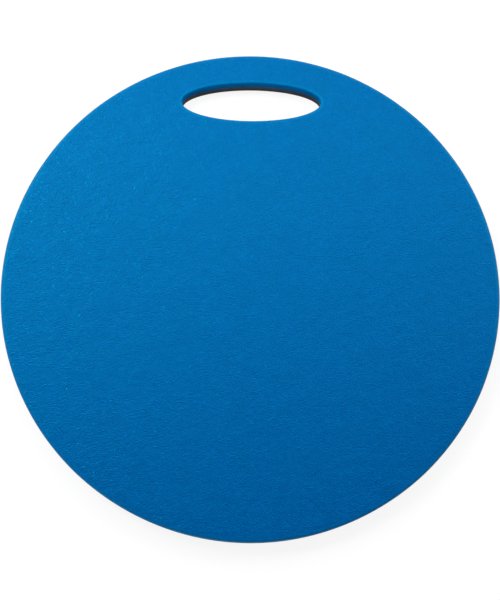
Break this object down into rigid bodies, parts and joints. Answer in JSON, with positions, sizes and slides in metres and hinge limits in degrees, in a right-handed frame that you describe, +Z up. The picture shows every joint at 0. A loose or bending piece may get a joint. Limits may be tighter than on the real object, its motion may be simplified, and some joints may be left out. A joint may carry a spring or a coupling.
{
  "type": "balance pad",
  "caption": "Thin round foam pad with a blue embossed top sheet bonded to a charcoal base sheet, softly rounded rims and an oval hand hole near its edge.",
  "frame": {"origin": "centre of the underside, on the surface that the pad lies on", "axes": "+Z up through the thickness, +Y towards the hand hole, +X along the hole"},
  "size_m": [0.35, 0.35, 0.015],
  "materials": {
    "blue_foam": "closed-cell foam with a fine embossed orange-peel skin, low sheen, and plain cut walls",
    "adhesive_film": "thin hot-melt film, seen only as a line in the cut walls",
    "charcoal_foam": "closed-cell foam with a fine matt skin and plain cut walls"
  },
  "bodies": {
    "root": {"top_layer": "blue_foam", "bond_film": "adhesive_film", "base_layer": "charcoal_foam"}
  },
  "joints": []
}
